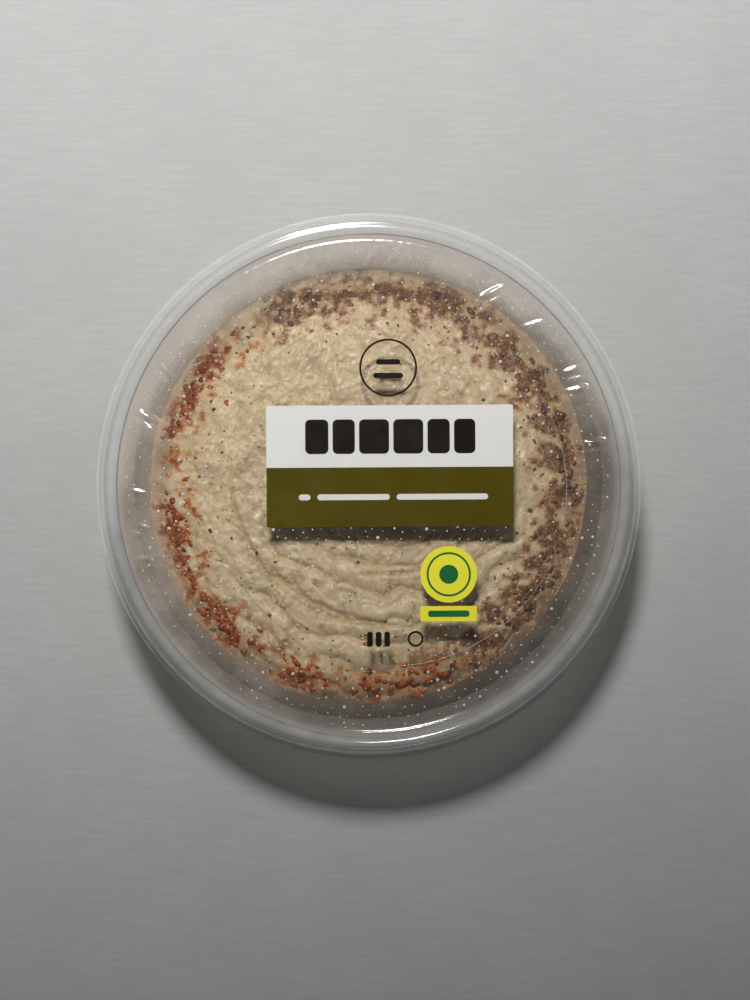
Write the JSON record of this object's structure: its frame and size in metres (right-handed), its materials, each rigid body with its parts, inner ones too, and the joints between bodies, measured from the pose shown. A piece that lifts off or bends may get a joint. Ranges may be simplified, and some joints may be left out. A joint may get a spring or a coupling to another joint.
{
  "type": "sealed tub of hummus",
  "caption": "Round clear plastic tub of hummus with chopped olive and tomato relish, closed by a printed clear film and a clear press-on lid; stands on its foot.",
  "frame": {"origin": "centre of the foot of the tub, on the surface it stands on", "axes": "+Z up through the tub and lid; +Y towards the top of the print on the film, so the print reads upright when seen from above with +Y up; +X to its right"},
  "size_m": [0.1216, 0.1216, 0.041],
  "materials": {
    "clear_tub": "clear formed plastic sheet, glossy",
    "clear_lid": "clear formed plastic sheet, glossy, thinner than the tub",
    "sealing_film": "slightly milky clear film, glossy, misted below",
    "hummus": "moist, soft sheen, uneven",
    "olive_relish": "moist, oily, brown to purple black",
    "tomato_relish": "moist, oily, red to orange",
    "print_white": "opaque white ink on film",
    "print_olive": "opaque olive green ink on film",
    "print_dark": "opaque brown black ink on film",
    "print_yellow": "opaque yellow ink on film",
    "print_green": "opaque green ink on film",
    "water_drops": "clear water beads"
  },
  "bodies": {
    "root": {"tub": "clear_tub", "lid": "clear_lid", "seal_film": "sealing_film", "hummus": "hummus", "relish_olive_top_left": "olive_relish", "relish_olive_top_right": "olive_relish", "relish_olive_right_upper": "olive_relish", "relish_olive_right": "olive_relish", "relish_olive_right_lower": "olive_relish", "relish_tomato_bottom": "tomato_relish", "relish_tomato_bottom_left": "tomato_relish", "relish_tomato_lower_left": "tomato_relish", "relish_tomato_left": "tomato_relish", "relish_tomato_left_middle": "tomato_relish", "relish_tomato_left_upper": "tomato_relish"}
  },
  "joints": []
}
